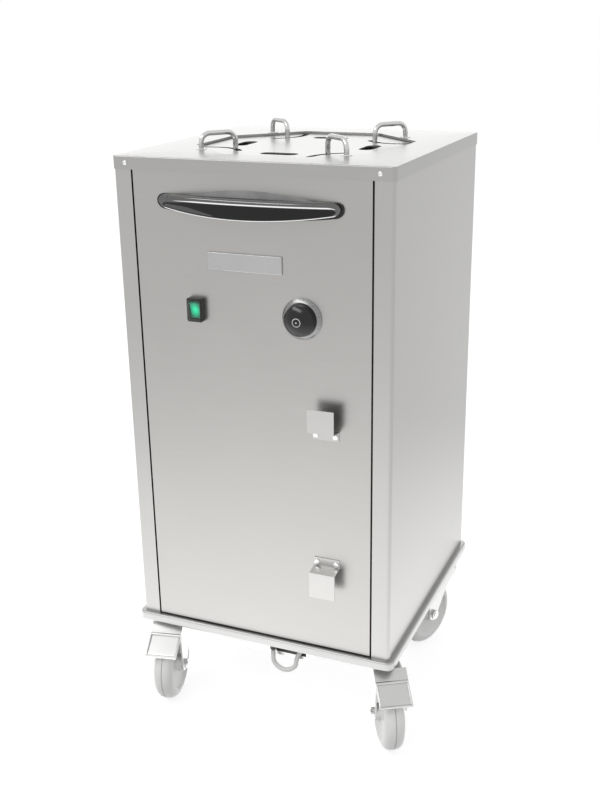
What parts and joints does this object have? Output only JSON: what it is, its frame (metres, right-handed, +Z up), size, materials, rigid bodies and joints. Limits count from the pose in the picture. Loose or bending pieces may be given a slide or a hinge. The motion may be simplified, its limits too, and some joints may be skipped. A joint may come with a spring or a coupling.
{
  "type": "plate dispenser cart",
  "caption": "Square heated plate dispenser on four swivel casters, with a sprung platform under an octagonal opening, pivoting wire guides, a bow handle and a thermostat.",
  "frame": {"origin": "on the floor under the middle of the body", "axes": "+Z up, +X to the right of someone facing the controls, front at -Y"},
  "size_m": [0.506, 0.5074, 0.983],
  "materials": {
    "body_steel": "brushed",
    "base_paint": "satin",
    "inner_steel": "mill",
    "pressed_steel": "zinc plated",
    "polished_steel": "polished",
    "grey_tyre": "matt",
    "insulation": "mineral wool",
    "black_plastic": "satin",
    "dark_grip": "gloss",
    "grey_recess": "satin",
    "dial_silver": "spun",
    "lit_green": "translucent",
    "clear_cover": "clear",
    "white_plastic": "satin",
    "cord_grey": "matt"
  },
  "bodies": {
    "base": {"back_panel": "body_steel", "badge_plate": "body_steel", "base_pan": "inner_steel", "base_rail": "base_paint", "bracket_lower": "body_steel", "bracket_upper": "body_steel", "caster_mounts": "pressed_steel", "cord_coil": "cord_grey", "cord_gland": "black_plastic", "cord_tail": "cord_grey", "cord_tray": "inner_steel", "cover": "body_steel", "dial_plate": "dial_silver", "floor_plate": "inner_steel", "front_panel": "body_steel", "guide_bushes": "white_plastic", "guide_sockets": "inner_steel", "handle_bar": "dark_grip", "handle_bezel": "grey_recess", "heater_brackets": "inner_steel", "heating_element": "inner_steel", "insulation": "insulation", "junction_box": "white_plastic", "lift_rods": "polished_steel", "lift_springs": "inner_steel", "liner": "inner_steel", "mains_cord": "cord_grey", "plug": "cord_grey", "rod_brackets": "inner_steel", "screws": "polished_steel", "sensor": "inner_steel", "side_panel_left": "body_steel", "side_panel_right": "body_steel", "switch_body": "black_plastic", "switch_cover": "clear_cover", "thermostat": "white_plastic", "wiring": "cord_grey"},
    "swivel_front_left": {"caster_fork_front_left": "pressed_steel", "caster_axle_front_left": "pressed_steel"},
    "wheel_front_left": {"caster_wheel_front_left": "grey_tyre"},
    "pedal_front_left": {"brake_pedal_front_left": "pressed_steel"},
    "swivel_front_right": {"caster_fork_front_right": "pressed_steel", "caster_axle_front_right": "pressed_steel"},
    "wheel_front_right": {"caster_wheel_front_right": "grey_tyre"},
    "pedal_front_right": {"brake_pedal_front_right": "pressed_steel"},
    "swivel_back_right": {"caster_fork_back_right": "pressed_steel", "caster_axle_back_right": "pressed_steel"},
    "wheel_back_right": {"caster_wheel_back_right": "grey_tyre"},
    "swivel_back_left": {"caster_fork_back_left": "pressed_steel", "caster_axle_back_left": "pressed_steel"},
    "wheel_back_left": {"caster_wheel_back_left": "grey_tyre"},
    "lift": {"platform": "inner_steel", "carriage": "inner_steel", "carriage_bushes": "white_plastic"},
    "guide_front_right": {"plate_guide_front_right": "polished_steel"},
    "guide_back_right": {"plate_guide_back_right": "polished_steel"},
    "guide_back_left": {"plate_guide_back_left": "polished_steel"},
    "guide_front_left": {"plate_guide_front_left": "polished_steel"},
    "knob": {"knob": "black_plastic"},
    "rocker": {"switch_rocker": "lit_green"}
  },
  "joints": [
    {"name": "swivel_front_left", "type": "hinge", "parent": "base", "child": "swivel_front_left", "pos_m": [-0.196, -0.167, 0.138], "axis": [0, 0, 1], "continuous": true},
    {"name": "roll_front_left", "type": "hinge", "parent": "swivel_front_left", "child": "wheel_front_left", "pos_m": [-0.18685, -0.21004, 0.0625], "axis": [0.9781, 0.2079, 0], "continuous": true},
    {"name": "brake_front_left", "type": "hinge", "parent": "swivel_front_left", "child": "pedal_front_left", "pos_m": [-0.18644, -0.21199, 0.133], "axis": [0.9781, 0.2079, 0], "range_deg": [0, 10]},
    {"name": "swivel_front_right", "type": "hinge", "parent": "base", "child": "swivel_front_right", "pos_m": [0.196, -0.167, 0.138], "axis": [0, 0, 1], "continuous": true},
    {"name": "roll_front_right", "type": "hinge", "parent": "swivel_front_right", "child": "wheel_front_right", "pos_m": [0.21866, -0.20472, 0.0625], "axis": [0.8572, 0.515, 0], "continuous": true},
    {"name": "brake_front_right", "type": "hinge", "parent": "swivel_front_right", "child": "pedal_front_right", "pos_m": [0.21969, -0.20643, 0.133], "axis": [0.8572, 0.515, 0], "range_deg": [0, 10]},
    {"name": "swivel_back_right", "type": "hinge", "parent": "base", "child": "swivel_back_right", "pos_m": [0.196, 0.167, 0.138], "axis": [0, 0, 1], "continuous": true},
    {"name": "roll_back_right", "type": "hinge", "parent": "swivel_back_right", "child": "wheel_back_right", "pos_m": [0.17973, 0.12612, 0.0625], "axis": [0.9291, -0.3697, 0], "continuous": true},
    {"name": "swivel_back_left", "type": "hinge", "parent": "base", "child": "swivel_back_left", "pos_m": [-0.196, 0.167, 0.138], "axis": [0, 0, 1], "continuous": true},
    {"name": "roll_back_left", "type": "hinge", "parent": "swivel_back_left", "child": "wheel_back_left", "pos_m": [-0.19984, 0.12317, 0.0625], "axis": [0.9962, -0.0872, 0], "continuous": true},
    {"name": "platform_lift", "type": "slide", "parent": "base", "child": "lift", "axis": [0, 0, -1], "range_m": [0, 0.6], "stiffness_N_per_m": 500, "springref_m": -0.12, "deforming": ["lift_springs"]},
    {"name": "guide_front_right", "type": "hinge", "parent": "base", "child": "guide_front_right", "pos_m": [0.1176, -0.12959, 0.9555], "axis": [0, 0, 1], "range_deg": [-20, 70]},
    {"name": "guide_back_right", "type": "hinge", "parent": "base", "child": "guide_back_right", "pos_m": [0.12959, 0.1176, 0.9555], "axis": [0, 0, 1], "range_deg": [-20, 70]},
    {"name": "guide_back_left", "type": "hinge", "parent": "base", "child": "guide_back_left", "pos_m": [-0.1176, 0.12959, 0.9555], "axis": [0, 0, 1], "range_deg": [-20, 70]},
    {"name": "guide_front_left", "type": "hinge", "parent": "base", "child": "guide_front_left", "pos_m": [-0.12959, -0.1176, 0.9555], "axis": [0, 0, 1], "range_deg": [-20, 70]},
    {"name": "thermostat_knob", "type": "hinge", "parent": "base", "child": "knob", "pos_m": [0.083, -0.225, 0.7275], "axis": [0, 1, 0], "range_deg": [0, 270]},
    {"name": "switch_rocker", "type": "hinge", "parent": "base", "child": "rocker", "pos_m": [-0.092, -0.228, 0.7275], "axis": [-1, 0, 0], "range_deg": [0, 20]}
  ]
}
